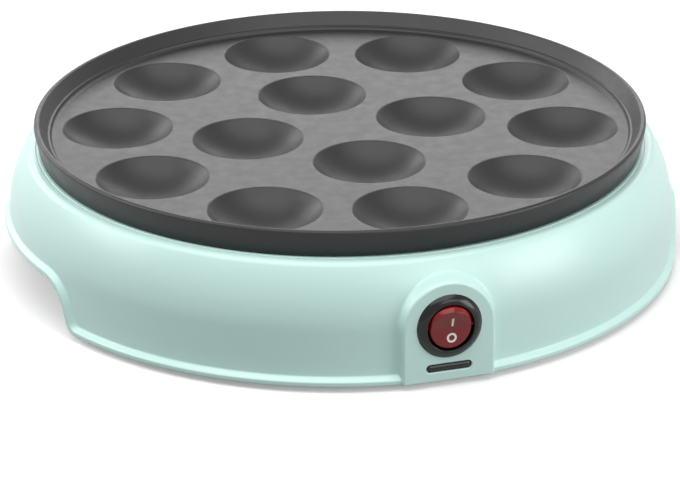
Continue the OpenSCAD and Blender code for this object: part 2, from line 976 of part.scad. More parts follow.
module fuse_clip() {
    rise = fuse_r + seat_clear;
    inside = fuse_r + seat_clear;
    outside = inside + fuse_strap_t;
    color("silver")
        difference() {
            on_fuse()
                linear_extrude(fuse_strap_w, center = true) {
                    difference() {
                        circle(r = outside);
                        circle(r = inside);
                        translate([-big / 2, 0])
                            square([big, big]);
                    }
                    for (s = [0, 1])
                        mirror([s, 0]) {
                            translate([inside, -strap_lap])
                                square([fuse_strap_t, rise + strap_lap]);
                            translate([inside, rise - fuse_strap_t])
                                square([fuse_strap_t + fuse_tab, fuse_strap_t]);
                        }
                }
            at_rivets()
                cylinder(r = rivet_r + thread_clear, h = big);
        }
}

module fuse_rivets() {
    color("silver")
        at_rivets() {
            translate([0, 0, shield_bottom_z - fuse_strap_t - rivet_head_h])
                cylinder(r = rivet_r + rivet_head_h, h = rivet_head_h);
            translate([0, 0, shield_bottom_z - fuse_strap_t - eps])
                cylinder(r = rivet_r, h = fuse_strap_t + shield_t + 2 * eps);
            translate([0, 0, shield_z])
                cylinder(r = rivet_r + rivet_head_h, h = rivet_head_h);
        }
}

module earth_tag() {
    color("goldenrod")
        around(fix_r, [earth_angle])
            translate([0, 0, earth_z - tab_t])
                difference() {
                    linear_extrude(tab_t)
                        union() {
                            circle(r = plate_boss_r);
                            translate([-plate_boss_r - tab_len, -tab_w / 2])
                                square([plate_boss_r + tab_len, tab_w]);
                        }
                    translate([0, 0, -over])
                        cylinder(r = plate_screw_r + hole_clear, h = tab_t + 2 * over);
                }
}

module earth_screw() {
    color("silver")
        around(fix_r, [earth_angle])
            translate([0, 0, earth_z - tab_t])
                screw(plate_screw_r, tab_t + earth_thread - thread_end);
}

// Switch

module switch_body() {
    color([0.05, 0.05, 0.05])
        on_panel()
            difference() {
                union() {
                    rotate_extrude() {
                        translate([0, -switch_depth])
                            square([barrel_r, switch_depth + bezel_t / 2]);
                        intersection() {
                            square([bezel_r, bezel_t]);
                            translate([bezel_crown_at, bezel_t - bezel_crown_r])
                                circle(r = bezel_crown_r);
                        }
                    }
                    for (s = [-1, 1])
                        translate([s * barrel_r - wing_out, -wing_w / 2, -wall_t - seat_clear - wing_h])
                            cube([2 * wing_out, wing_w, wing_h]);
                }
                difference() {
                    translate([0, 0, barrel_floor])
                        cylinder(r = barrel_inner_r, h = big);
                    for (s = [0, 1])
                        mirror([s, 0, 0])
                            translate([lever_half_w + ear_gap, -ear_t, barrel_floor - over])
                                cube([ear_t, 2 * ear_t, lever_out + ear_t - barrel_floor + over]);
                }
                at_rocker(0)
                    cross_pin(pivot_r + pivot_clear, pivot_len + pivot_end_gap);
                at_lever(0)
                    cross_pin(lever_pin_r + pivot_clear, lever_pin_len + lever_pin_short);
                for (y = tab_places)
                    translate([-tab_w / 2 - thread_clear, y - tab_t / 2 - thread_clear, -big])
                        cube([tab_w + 2 * thread_clear, tab_t + 2 * thread_clear, big + barrel_floor]);
            }
}

module rocker() {
    wide = 2 * (rocker_r + over);
    edge = rocker_swing_r + over;
    color([0.6, 0.05, 0.05])
        on_panel()
            at_rocker(rocker_tilt)
                difference() {
                    union() {
                        intersection() {
                            cylinder(r = rocker_r, h = big, center = true);
                            cross_pin(rocker_swing_r, wide / 2);
                            translate([-wide / 2, 0, 0])
                                rotate([90, 0, 90])
                                    linear_extrude(wide)
                                        polygon([
                                            [0, rocker_dip], [edge, rocker_dip + edge * slope],
                                            [edge, -rocker_back], [-edge, -rocker_back],
                                            [-edge, rocker_dip + edge * slope]
                                        ]);
                        }
                        cross_pin(pivot_r, pivot_len);
                        translate([0, 0, -rocker_stem])
                            cylinder(r = rocker_stem_r, h = rocker_stem);
                    }
                    translate([0, lamp_up, -lamp_back]) {
                        cross_pin(lamp_r + seat_clear, lamp_len / 2 + seat_clear);
                        mirror([0, 0, 1])
                            linear_extrude(rocker_back + over - lamp_back)
                                square(2 * [lamp_len / 2 + seat_clear, lamp_r + seat_clear], center = true);
                    }
                }
}

module switch_lamp() {
    color([1, 0.75, 0.6])
        on_panel()
            at_rocker(rocker_tilt)
                translate([0, lamp_up, -lamp_back])
                    cross_pin(lamp_r, lamp_len / 2);
}

module contact_lever() {
    color([0.8, 0.5, 0.3])
        on_panel()
            at_lever(-lever_tilt) {
                translate([-lever_half_w, -lever_half, -lever_t / 2])
                    cube([2 * lever_half_w, 2 * lever_half, lever_t]);
                cross_pin(lever_pin_r, lever_pin_len);
                translate([0, contact_at, -lever_t / 2 - contact_h])
                    cylinder(r = contact_r, h = contact_h + lever_t / 2);
            }
}

module switch_terminals() {
    color("goldenrod")
        on_panel() {
            for (y = tab_places)
                translate([-tab_w / 2, y - tab_t / 2, -switch_depth - tab_len])
                    cube([tab_w, tab_t, switch_depth + tab_len + barrel_floor]);
            translate([0, contact_at, barrel_floor])
                cylinder(r = contact_r, h = contact_top - barrel_floor);
        }
}

// Cord gland

module cord_gland() {
    color([0.1, 0.1, 0.1])
        translate([0, 0, gland_z])
            rotate([-90, 0, 0])
                rotate_extrude()
                    difference() {
                        polygon([
                            [0, gland_back_y], [gland_flange_r, gland_back_y],
                            [gland_flange_r, gland_seat_y], [gland_r, gland_seat_y],
                            [gland_r, gland_face_y], [gland_flange_r, gland_face_y],
                            [gland_flange_r, housing_r + gland_flange_t],
                            [gland_nose_r, gland_end_y], [0, gland_end_y]
                        ]);
                        translate([-over, 0])
                            square([gland_bore_r + over, big]);
                    }
}

// Terminal block

module terminal_block() {
    color("white")
        translate([0, block_at_y, tray_top_z])
            difference() {
                translate([-block_w / 2, -block_d / 2, 0])
                    cube([block_w, block_d, block_h]);
                for (x = pole_places) {
                    translate([x, 0, block_h / 2])
                        rotate([90, 0, 0])
                            cylinder(r = pole_wire_r, h = big, center = true);
                    for (s = [-1, 1])
                        translate([x, s * pole_screw_y, block_h / 2])
                            cylinder(r = pole_screw_r + thread_clear, h = block_h);
                }
                cylinder(r = small_screw_r + thread_clear, h = block_thread);
            }
}

module terminal_screws() {
    color("goldenrod")
        translate([0, block_at_y, tray_top_z])
            for (x = pole_places, s = [-1, 1])
                translate([x, s * pole_screw_y, block_h / 2 + pole_wire_r])
                    cylinder(r = pole_screw_r, h = block_h / 2 - pole_wire_r - pole_screw_sink);
}

module block_screw() {
    color("silver")
        translate([0, block_at_y, tray_z])
            screw(small_screw_r, tray_t + block_thread - thread_end);
}

housing();
base_tray();
rubber_feet();
base_screws();
cooking_plate();
plate_screws();
plate_insulators();
heat_shield();
heating_element();
element_clips();
clip_screws();
element_bushes();
element_terminals();
thermostat();
thermostat_screws();
thermal_fuse();
fuse_clip();
fuse_rivets();
earth_tag();
earth_screw();
switch_body();
rocker();
switch_lamp();
contact_lever();
switch_terminals();
cord_gland();
terminal_block();
terminal_screws();
block_screw();
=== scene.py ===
"""Looks of a poffertjes maker: a cast plate of small wells in a mint moulded housing.

Shapes are worked in millimetres in the frame of the part: +Z up, the switch faces -Y.
"""

import json
import math

import bmesh
import bpy
from mathutils import Matrix, Quaternion, Vector


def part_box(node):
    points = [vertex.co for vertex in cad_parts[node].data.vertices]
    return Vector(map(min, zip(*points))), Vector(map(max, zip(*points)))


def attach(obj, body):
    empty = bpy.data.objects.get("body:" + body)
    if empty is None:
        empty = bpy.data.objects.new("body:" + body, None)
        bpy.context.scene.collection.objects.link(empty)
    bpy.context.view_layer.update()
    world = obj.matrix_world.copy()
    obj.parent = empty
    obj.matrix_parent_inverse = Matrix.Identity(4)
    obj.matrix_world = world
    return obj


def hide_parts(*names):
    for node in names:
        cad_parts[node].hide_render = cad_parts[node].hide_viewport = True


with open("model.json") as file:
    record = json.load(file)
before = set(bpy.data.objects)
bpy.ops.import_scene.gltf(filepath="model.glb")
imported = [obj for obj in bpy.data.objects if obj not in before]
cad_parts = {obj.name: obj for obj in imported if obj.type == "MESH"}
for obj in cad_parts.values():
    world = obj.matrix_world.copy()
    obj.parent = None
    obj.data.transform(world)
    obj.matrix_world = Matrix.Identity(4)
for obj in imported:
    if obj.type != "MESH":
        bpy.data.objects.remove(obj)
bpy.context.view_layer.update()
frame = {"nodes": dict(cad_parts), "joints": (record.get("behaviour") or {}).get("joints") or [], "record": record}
MM = 0.001


def node_box(name):
    """Lowest and highest corner of a CAD node, in millimetres."""
    low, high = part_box(name)
    return low / MM, high / MM


# Sizes of the housing, in millimetres. Its radius, lower edge and top come from the frame.
HOUSING_LOW, HOUSING_HIGH = node_box("housing")
LIP_R = HOUSING_HIGH.y
EDGE_Z = HOUSING_LOW.z
TOP_Z = HOUSING_HIGH.z
LIP_PROUD = 2.0
WALL_R = LIP_R - LIP_PROUD
WALL_T = 2.5
BEND_Z = 22.0
BEND_R = 40.0
SHOULDER_LEAN = math.radians(32.5)
SHOULDER_ROUND = 3.2
OPENING_R = 108.3
GROOVE_IN_R = 112.0
GROOVE_W = 0.5
GROOVE_DEPTH = 0.35
GROOVE_EDGE = 0.15
GROOVE_MARGIN = 0.6
OPENING_EDGE = 0.4

# Profile of the lip, measured up from the housing's lower edge
LIP_EDGE_ROUND = 0.5
LIP_FACE_END = 1.6
LIP_TOP_END = 3.6
LIP_TOP_SOFT = 0.3
LIP_ROWS_END = 4.6

# Hand-holds: widths are measured along Y from the X axis, heights up from the lower edge
HOLD_HALF_W = 46.0
HOLD_H = 17.0
HOLD_CORNER_R = 12.0
HOLD_LEAN = math.radians(21)
HOLD_FOOT_R = 5.5
HOLD_ZONE = 60.0

# Switch panel
PANEL_HALF_W = 16.9
PANEL_ARCH_Z = 22.3
PANEL_LEAN = math.radians(9)
PANEL_EDGE_SOFT = 0.9
PANEL_FINE_Z = 37.0
PANEL_END_Z = 42.0
PANEL_FILLET = 2.0
PANEL_FILLET_GROWTH = 0.04

# Height where the rows over the hand-holds have become level again
GUIDE_Z = 33.0

# Holes in the housing
SWITCH_Z = 22.8
SWITCH_HOLE_R = 10.0
GLAND_Z = 18.5
GLAND_HOLE_R = 6.1
SLOT_W = 16.5
SLOT_H = 3.0
SLOT_Z = 7.3
SLOT_CHAMFER = 0.3

# Tip of the latch in the slot, from a root behind the panel: its crown is steps of (length, growth)
LATCH_W = 15.7
LATCH_H = 2.2
LATCH_ROOT = 1.0
LATCH_SIDE = 0.55
LATCH_CROWN = ((0.75, -0.3), (0.95, -0.4), (1.08, -0.35))

# Cooking plate. Its height and radius come from the frame. LEDGE_LEAN is in degrees.
PLATE_HIGH = node_box("cooking_plate")[1]
RIM_Z = PLATE_HIGH.z
PLATE_R = PLATE_HIGH.y
RIM_ROUND = 1.2
RIM_INNER_LEAN = 2.5
RIM_EDGE_ROUND = 0.3
BAND_Z = RIM_Z - 9.8
BAND_R = PLATE_R - 1.6
BAND_FOOT_ROUND = 0.6
BAND_CHAMFER_W = 0.3
BAND_CHAMFER_H = 0.2
LEDGE_Z = RIM_Z - 4.6
LEDGE_R = PLATE_R - 2 * RIM_ROUND - RIM_INNER_LEAN
LEDGE_LEAN = 20
SURFACE_Z = RIM_Z - 6.0
UNDER_Z = SURFACE_Z - 3.4
FLOOR_R = LEDGE_R - 1.0 - (LEDGE_Z - SURFACE_Z)
WELL_R = 21.0
WELL_DEPTH = 9.0
WELL_EDGE_R = 1.2
WELL_SHELL = 2.6
FLAT_RING = 0.5
WELL_SPHERE_R = (WELL_R ** 2 + WELL_DEPTH ** 2) / (2 * WELL_DEPTH) - WELL_EDGE_R
DOME_SPHERE_R = WELL_SPHERE_R + WELL_SHELL
OUTER_WELLS = 10
INNER_WELLS = 4
OUTER_RING_R = FLOOR_R - 2.2 - WELL_R
INNER_RING_R = OUTER_RING_R - 2 * WELL_R - 4.9

# Bosses under the plate: how far they run up into it, and for each ring of them their radius,
# lowest height, the ring's radius and their angles in degrees
BOSS_SUNK = 1.0
PLATE_BOSSES = (
    (5.0, 34.0, 98.018, (-36, 36, 144, 216)),
    (5.0, 39.0, 98.018, (108,)),
    (4.0, 39.1, 70.468, (0, 144, 252)),
)

# Switch, in the panel's frame: y up, z out of the panel, zero on its face. Angles in degrees.
BEZEL_CREST_R = 8.87
BEZEL_T = 2.0
BEZEL_EDGE_ROUND = 0.3
BEZEL_DOME_R = 4.15
BEZEL_DOME_START = 10
BEZEL_DOME_END = 56
BARREL_R = 9.9
BARREL_FLOOR = -14.0
SWITCH_DEPTH = 20.0
SNAP_WING = (1.6, 6.0, 3.0)
SNAP_WING_Z = -4.2
LEVER_EAR = (1.5, 3.0, 5.6)
LEVER_EAR_X = 4.75
LEVER_EAR_Z = -11.2

# Key of the switch, in its own frame: y up, z out of the panel, zero at the pivot
KEY_R = 8.25
KEY_FACE_ROUND = 0.4
KEY_CONE_W = 0.8
KEY_CONE_LEAN = 60
KEY_FACE_RINGS = 8
KEY_SIDE_ROUND = 0.5
KEY_SIDE_DRAFT = 0.25
KEY_TILT = math.radians(10)
KEY_DIP = 1.86
KEY_HOLLOW = 2.0
KEY_TAPER_Z = -2.4
KEY_BACK_R = 7.4
KEY_BACK_Z = -3.5
KEY_WALL = 0.8
KEY_ROOF_Z = -2.6
PIN_R = 0.8
PIN_REACH = 9.25
STEM_R = 1.2
STEM_LENGTH = 8.6
MARK_X = 0.35
MARK_STROKE = 0.75
ON_MARK_H = 3.4
ON_MARK_UP = 2.8
OFF_MARK_R = 1.8
OFF_MARK_UP = -3.5
INK_T = 0.04

# Grid of the housing: a row under the lip, numbers of rows, and spacings of rows and columns in millimetres
LIP_UNDER_ROW = 0.4
LIP_EDGE_ROWS = 4
LIP_ROW = 0.23
WALL_ROWS = 48
UPPER_ROW = 0.6
PANEL_ROW = 0.3
SHOULDER_ROWS = 10
INNER_ROWS = 6
INSIDE_ROWS = 22
PANEL_COLUMN = 0.3
PANEL_COLUMNS_END = math.radians(11.5)
FRONT_COLUMN = 2.4
HOLD_COLUMN = 1.15
BACK_COLUMN = 3.0

# The panel is blended in by rounds, and only at the front: down to this cosine of the azimuth
PANEL_ROUNDS = 4
PANEL_MIN_COS = 0.9

# Distances under which places count as one, in millimetres, and the angle from which an edge is sharp
MERGE_DISTANCE = 0.001
NEAR = 0.01
SHARP_ANGLE = math.radians(38)


def linear(code):
    """An sRGB hex colour as a linear RGBA value."""
    parts = [int(code[i:i + 2], 16) / 255 for i in (0, 2, 4)]
    return [c / 12.92 if c <= 0.04045 else ((c + 0.055) / 1.055) ** 2.4 for c in parts] + [1.0]


def add_node(tree, kind, settings=None, links=None):
    """Adds a node, sets its properties and input values, and links its inputs."""
    node = tree.nodes.new(kind)
    for key, value in (settings or {}).items():
        if isinstance(key, int) or key in node.inputs:
            node.inputs[key].default_value = value
        else:
            setattr(node, key, value)
    for key, socket in (links or {}).items():
        tree.links.new(socket, node.inputs[key])
    return node


def surface(name, shades, patch_mm, rough, grain_mm, grain_depth_mm, stretch=(1, 1, 1), **shader):
    """A finish with two shades in soft patches, an uneven gloss and a fine grain."""
    material = bpy.data.materials.new(name)
    material.use_nodes = True
    tree = material.node_tree
    bsdf = tree.nodes["Principled BSDF"]
    place = add_node(tree, "ShaderNodeTexCoord")
    mapped = add_node(tree, "ShaderNodeMapping", {"Scale": stretch}, {"Vector": place.outputs["Object"]})
    patches = add_node(
        tree, "ShaderNodeTexNoise", {"Scale": 1 / (patch_mm * MM), "Detail": 3.0, "Roughness": 0.55},
        {"Vector": mapped.outputs["Vector"]},
    )
    grain = add_node(
        tree, "ShaderNodeTexNoise", {"Scale": 1 / (grain_mm * MM), "Detail": 2.0, "Roughness": 0.5},
        {"Vector": mapped.outputs["Vector"]},
    )
    shade = add_node(
        tree, "ShaderNodeMix", {"data_type": "RGBA", "A": linear(shades[0]), "B": linear(shades[1])},
    )
    tree.links.new(patches.outputs["Fac"], shade.inputs["Factor"])
    tree.links.new(shade.outputs["Result"], bsdf.inputs["Base Color"])
    gloss = add_node(
        tree, "ShaderNodeMapRange",
        {"From Min": 0.3, "From Max": 0.7, "To Min": rough[0], "To Max": rough[1]},
        {"Value": patches.outputs["Fac"]},
    )
    tree.links.new(gloss.outputs["Result"], bsdf.inputs["Roughness"])
    bump = add_node(
        tree, "ShaderNodeBump", {"Strength": 1.0, "Distance": grain_depth_mm * MM},
        {"Height": grain.outputs["Fac"]},
    )
    tree.links.new(bump.outputs["Normal"], bsdf.inputs["Normal"])
    for key, value in shader.items():
        bsdf.inputs[key.replace("_", " ")].default_value = value
    return material


# Each finish: its name, two shades, size of the patches, range of roughness, size and depth of the grain.
# Sizes are in millimetres.
FINISHES = {
    # Moulded ABS, satin: an even pastel with a soft, broad highlight
    "mint_abs": surface("mint_abs", ("C3E4DE", "C9E9E3"), 60, (0.31, 0.36), 1.2, 0.004, IOR=1.54),
    # Moulded plastic with a fine spark texture, which scatters the light
    "black_plastic": surface("black_plastic", ("121214", "18181A"), 15, (0.52, 0.62), 1.0, 0.03, IOR=1.35),
    # Moulded rubber: dull and dusty
    "rubber": surface("rubber", ("1A1A1A", "222221"), 8, (0.75, 0.88), 0.8, 0.03),
    # Zinc-plated steel, bright with a faint haze
    "steel": surface("zinc_steel", ("B4B6B8", "C6C8CA"), 4, (0.25, 0.38), 0.5, 0.004, Metallic=1.0),
    # Non-stick coating sprayed on a casting: dark, with the pebbled skin of the spray
    "nonstick": surface("nonstick", ("161618", "1C1C1E"), 5, (0.38, 0.45), 1.1, 0.035, IOR=1.43),
    # Pressed laminate: brown with flecks of fibre
    "phenolic": surface("laminate", ("4A2E18", "5E3C20"), 2, (0.5, 0.62), 0.6, 0.01),
    # Rolled aluminium sheet: streaks along the rolling direction
    "aluminium": surface(
        "rolled_aluminium", ("C4C6C9", "D2D4D6"), 6, (0.26, 0.4), 0.7, 0.004, (1, 0.05, 1), Metallic=1.0,
    ),
    # Oxidised element sheath: brown-grey, dull
    "element_steel": surface(
        "oxidised_sheath", ("5A524B", "6E665E"), 9, (0.42, 0.58), 0.7, 0.01, Metallic=0.9,
    ),
    # Unglazed ceramic: chalky
    "ceramic": surface("steatite", ("E3DED0", "EBE7DB"), 5, (0.55, 0.7), 0.6, 0.012),
    # Stamped brass, a little tarnished
    "brass": surface("stamped_brass", ("B58B45", "C79D55"), 3, (0.28, 0.42), 0.5, 0.004, Metallic=1.0),
    # Woven glass sleeve: matt, ribbed by its yarn
    "sleeve": surface("glass_sleeve", ("DEDACB", "ECE9DE"), 1.2, (0.75, 0.88), 0.9, 0.12, (1, 3, 1)),
    # Gloss moulded plastic: near black with sharp reflections
    "gloss_black": surface("gloss_black", ("0A0A0B", "0E0E10"), 20, (0.14, 0.2), 1.5, 0.001, IOR=1.38),
    # Tinted polycarbonate: a deep red with sharp reflections
    "red_rocker": surface("red_rocker", ("780B10", "840E13"), 6, (0.1, 0.15), 1.0, 0.001, IOR=1.38),
    # Clear lamp glass with a faint warm tint
    "lamp_glass": surface(
        "lamp_glass", ("F4DCCB", "F8E6DA"), 4, (0.05, 0.08), 1.0, 0.001, Transmission_Weight=0.9,
    ),
    # Moulded nylon: milky and waxy
    "nylon": surface("nylon", ("DDDDD6", "E6E6E0"), 6, (0.42, 0.52), 0.8, 0.008),
}
# Pad-printed ink: off-white, matt
INK = surface("white_ink", ("E8E6E2", "F0EEEA"), 3, (0.45, 0.55), 0.4, 0.002)

for subpart in frame["record"]["subparts"]:
    mesh = frame["nodes"][subpart["node"]].data
    mesh.materials.clear()
    mesh.materials.append(FINISHES[subpart["material_slot"]])


def finished(name, bm, material, body, replaced=()):
    """Turns a mesh in millimetres into a piece of the object, with sharp edges kept sharp."""
    for face in bm.faces:
        face.smooth = True
    for edge in bm.edges:
        if len(edge.link_faces) == 2:
            edge.smooth = edge.calc_face_angle() < SHARP_ANGLE
    bmesh.ops.scale(bm, vec=Vector((MM, MM, MM)), verts=bm.verts)
    mesh = bpy.data.meshes.new(name)
    bm.to_mesh(mesh)
    bm.free()
    mesh.materials.append(material)
    piece = bpy.data.objects.new(name, mesh)
    bpy.context.scene.collection.objects.link(piece)
    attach(piece, body)
    if replaced:
        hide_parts(*replaced)


# Housing


def wall_radius(z, inset=0.0):
    """Radius of the housing's wall at a height, without its lip."""
    bend = BEND_R - inset
    end_z = BEND_Z + bend * math.sin(SHOULDER_LEAN)
    if z <= BEND_Z:
        return WALL_R - inset
    if z <= end_z:
        return WALL_R - BEND_R + math.sqrt(bend ** 2 - (z - BEND_Z) ** 2)
    return WALL_R - BEND_R + bend * math.cos(SHOULDER_LEAN) - (z - end_z) * math.tan(SHOULDER_LEAN)


def ramp(t, soft):
    """A straight rise from 0 to 1 with rounded ends, each as long as soft."""
    t = min(max(t, 0.0), 1.0)
    if t > 0.5:
        return 1 - ramp(1 - t, soft)
    slope = 1 / (1 - soft)
    return slope * t * t / (2 * soft) if t < soft else slope * (t - soft / 2)


def lip_reach(rise):
    """How far the lip stands out of the wall at a distance from the lower edge."""
    if rise < LIP_EDGE_ROUND:
        drop = LIP_EDGE_ROUND - rise
        return LIP_PROUD - LIP_EDGE_ROUND + math.sqrt(LIP_EDGE_ROUND ** 2 - drop ** 2)
    return LIP_PROUD * (1 - ramp((rise - LIP_FACE_END) / (LIP_TOP_END - LIP_FACE_END), LIP_TOP_SOFT))


def hold_path():
    """Pieces of a hold's edge from its top centre outwards: a length and a point-and-normal function."""
    sin_l, cos_l = math.sin(HOLD_LEAN), math.cos(HOLD_LEAN)
    top_z = EDGE_Z + HOLD_H
    corner_z = top_z - HOLD_CORNER_R
    corner_y = HOLD_HALF_W - HOLD_CORNER_R / cos_l - (corner_z - EDGE_Z) * sin_l / cos_l
    foot_y = HOLD_HALF_W + HOLD_FOOT_R * (1 - sin_l) / cos_l
    foot_z = EDGE_Z + HOLD_FOOT_R
    side_top = (corner_y + HOLD_CORNER_R * cos_l, corner_z + HOLD_CORNER_R * sin_l)
    side_low = (foot_y - HOLD_FOOT_R * cos_l, foot_z - HOLD_FOOT_R * sin_l)
    sweep = math.pi / 2 - HOLD_LEAN

    def top(s):
        return s, top_z, 0.0, 1.0

    def corner(s):
        a = math.pi / 2 - s / HOLD_CORNER_R
        c, w = math.cos(a), math.sin(a)
        return corner_y + HOLD_CORNER_R * c, corner_z + HOLD_CORNER_R * w, c, w

    def side(s):
        return side_top[0] + s * sin_l, side_top[1] - s * cos_l, cos_l, sin_l

    def foot(s):
        a = HOLD_LEAN + s / HOLD_FOOT_R
        c, w = math.cos(a), math.sin(a)
        return foot_y - HOLD_FOOT_R * c, foot_z - HOLD_FOOT_R * w, c, w

    def level(s):
        return foot_y + s, EDGE_Z, 0.0, 1.0

    return [
        (corner_y, top), (HOLD_CORNER_R * sweep, corner), (math.dist(side_top, side_low), side),
        (HOLD_FOOT_R * sweep, foot), (HOLD_ZONE - foot_y, level),
    ]


HOLD_PATH = hold_path()
HOLD_LENGTH = sum(length for length, _ in HOLD_PATH)


def hold_edge(s):
    """Point (y, z) on a hold's edge at a signed length from its centre, and the normal into the wall."""
    sign = -1 if s < 0 else 1
    rest = abs(s)
    for length, place in HOLD_PATH:
        if rest <= length or place is HOLD_PATH[-1][1]:
            y, z, ny, nz = place(rest)
            return sign * y, z, sign * ny, nz
        rest -= length


def panel_reach(x, z, half_w, face):
    """How far the switch panel's form stands out along -Y at a place, before its fillet."""
    outside = math.hypot(x, max(z - PANEL_ARCH_Z, 0.0)) - half_w
    if outside > PANEL_EDGE_SOFT:
        spread_out = outside
    elif outside < -PANEL_EDGE_SOFT:
        spread_out = 0.0
    else:
        spread_out = (outside + PANEL_EDGE_SOFT) ** 2 / (4 * PANEL_EDGE_SOFT)
    return face - spread_out / math.tan(PANEL_LEAN)


def with_panel(radius, azimuth, z, half_w, face, lip=0.0):
    """Radius of the wall with the panel blended in, or of the lip where that stands out further."""
    if math.cos(azimuth) < PANEL_MIN_COS:
        return radius + lip
    fillet = PANEL_FILLET + PANEL_FILLET_GROWTH * max(z - PANEL_ARCH_Z, 0.0)
    result = radius
    for _ in range(PANEL_ROUNDS):
        panel = panel_reach(result * math.sin(azimuth), z, half_w, face) / math.cos(azimuth)
        blend = max(fillet - abs(radius - panel), 0.0) / fillet
        result = max(radius, panel) + blend ** 2 * fillet / 4
    return max(result, radius + lip)


def spread(start, end, step):
    """Even places from start up to, and without, end."""
    count = max(1, round(abs(end - start) / step))
    return [start + (end - start) * k / count for k in range(count)]


def housing_rows():
    """Rows of the housing's section: up the outside, over the ledge and down the inside."""
    rows = [("lip", -WALL_T, 0.0), ("lip", -WALL_T / 2, 0.0), ("lip", LIP_UNDER_ROW, 0.0)]
    for k in range(LIP_EDGE_ROWS + 1):
        a = math.pi / 2 * k / LIP_EDGE_ROWS
        rise = LIP_EDGE_ROUND * (1 - math.cos(a))
        rows.append(("lip", LIP_PROUD - LIP_EDGE_ROUND + LIP_EDGE_ROUND * math.sin(a), rise))
    rise = LIP_EDGE_ROUND
    while rise < LIP_ROWS_END - LIP_ROW / 2:
        rise += LIP_ROW
        rows.append(("lip", lip_reach(rise), rise))
    rows += [("wall", k / WALL_ROWS) for k in range(1, WALL_ROWS + 1)]
    corner_r = wall_radius(TOP_Z)
    half_turn = (math.pi / 2 - SHOULDER_LEAN) / 2
    start = SHOULDER_ROUND * math.tan(half_turn)
    shoulder_end = TOP_Z - start * math.cos(SHOULDER_LEAN)
    levels = spread(GUIDE_Z, PANEL_FINE_Z, UPPER_ROW)[1:] + spread(PANEL_FINE_Z, PANEL_END_Z, PANEL_ROW)
    levels += spread(PANEL_END_Z, shoulder_end, UPPER_ROW) + [shoulder_end]
    rows += [("upper", z, 0.0) for z in levels]
    centre_r = corner_r - start
    centre_z = TOP_Z - SHOULDER_ROUND
    for k in range(1, SHOULDER_ROWS + 1):
        a = SHOULDER_LEAN + (math.pi / 2 - SHOULDER_LEAN) * k / SHOULDER_ROWS
        radius = centre_r + SHOULDER_ROUND * math.cos(a)
        rows.append(("ring", radius, centre_z + SHOULDER_ROUND * math.sin(a)))
    soft = GROOVE_EDGE
    in_r = GROOVE_IN_R
    out_r = GROOVE_IN_R + GROOVE_W
    low_z = TOP_Z - GROOVE_DEPTH
    under_z = TOP_Z - WALL_T
    rows += [("ring", r, z) for r, z in (
        (out_r + GROOVE_MARGIN, TOP_Z), (out_r + soft, TOP_Z), (out_r, TOP_Z - soft), (out_r, low_z),
        (in_r, low_z), (in_r, TOP_Z - soft), (in_r - soft, TOP_Z), (in_r - GROOVE_MARGIN, TOP_Z),
        (OPENING_R + OPENING_EDGE, TOP_Z), (OPENING_R, TOP_Z - OPENING_EDGE),
        (OPENING_R, under_z + OPENING_EDGE), (OPENING_R + OPENING_EDGE, under_z),
        (wall_radius(under_z, WALL_T), under_z),
    )]
    rows += [("upper", under_z + (GUIDE_Z - TOP_Z + WALL_T) * k / INNER_ROWS, WALL_T)
             for k in range(1, INNER_ROWS + 1)]
    rows += [("inside", 1 - k / INSIDE_ROWS) for k in range(1, INSIDE_ROWS + 1)]
    return rows


def housing_columns():
    """Columns of the housing, once round from the front: plain azimuths, and places on a hold's edge."""
    front = PANEL_COLUMNS_END
    zone = math.asin(HOLD_ZONE / LIP_R)
    quarter = math.pi / 2
    columns = [("plain", a) for a in spread(0, front, PANEL_COLUMN / LIP_R)]
    columns += [("plain", a) for a in spread(front, quarter - zone, FRONT_COLUMN / LIP_R)]
    columns += [("right", s) for s in spread(-HOLD_LENGTH, HOLD_LENGTH, HOLD_COLUMN)]
    columns += [("plain", a) for a in spread(quarter + zone, 3 * quarter - zone, BACK_COLUMN / LIP_R)]
    columns += [("left", s) for s in spread(HOLD_LENGTH, -HOLD_LENGTH, HOLD_COLUMN)]
    last = 4 * quarter - front
    columns += [("plain", a) for a in spread(3 * quarter + zone, last, FRONT_COLUMN / LIP_R)]
    columns += [("plain", a) for a in spread(last, 4 * quarter, PANEL_COLUMN / LIP_R)]
    return columns


def around(kind, y, radius):
    """Azimuth of a place on a hand-hold's side of the housing."""
    turn = math.asin(y / radius)
    return math.pi / 2 + turn if kind == "right" else 3 * math.pi / 2 - turn


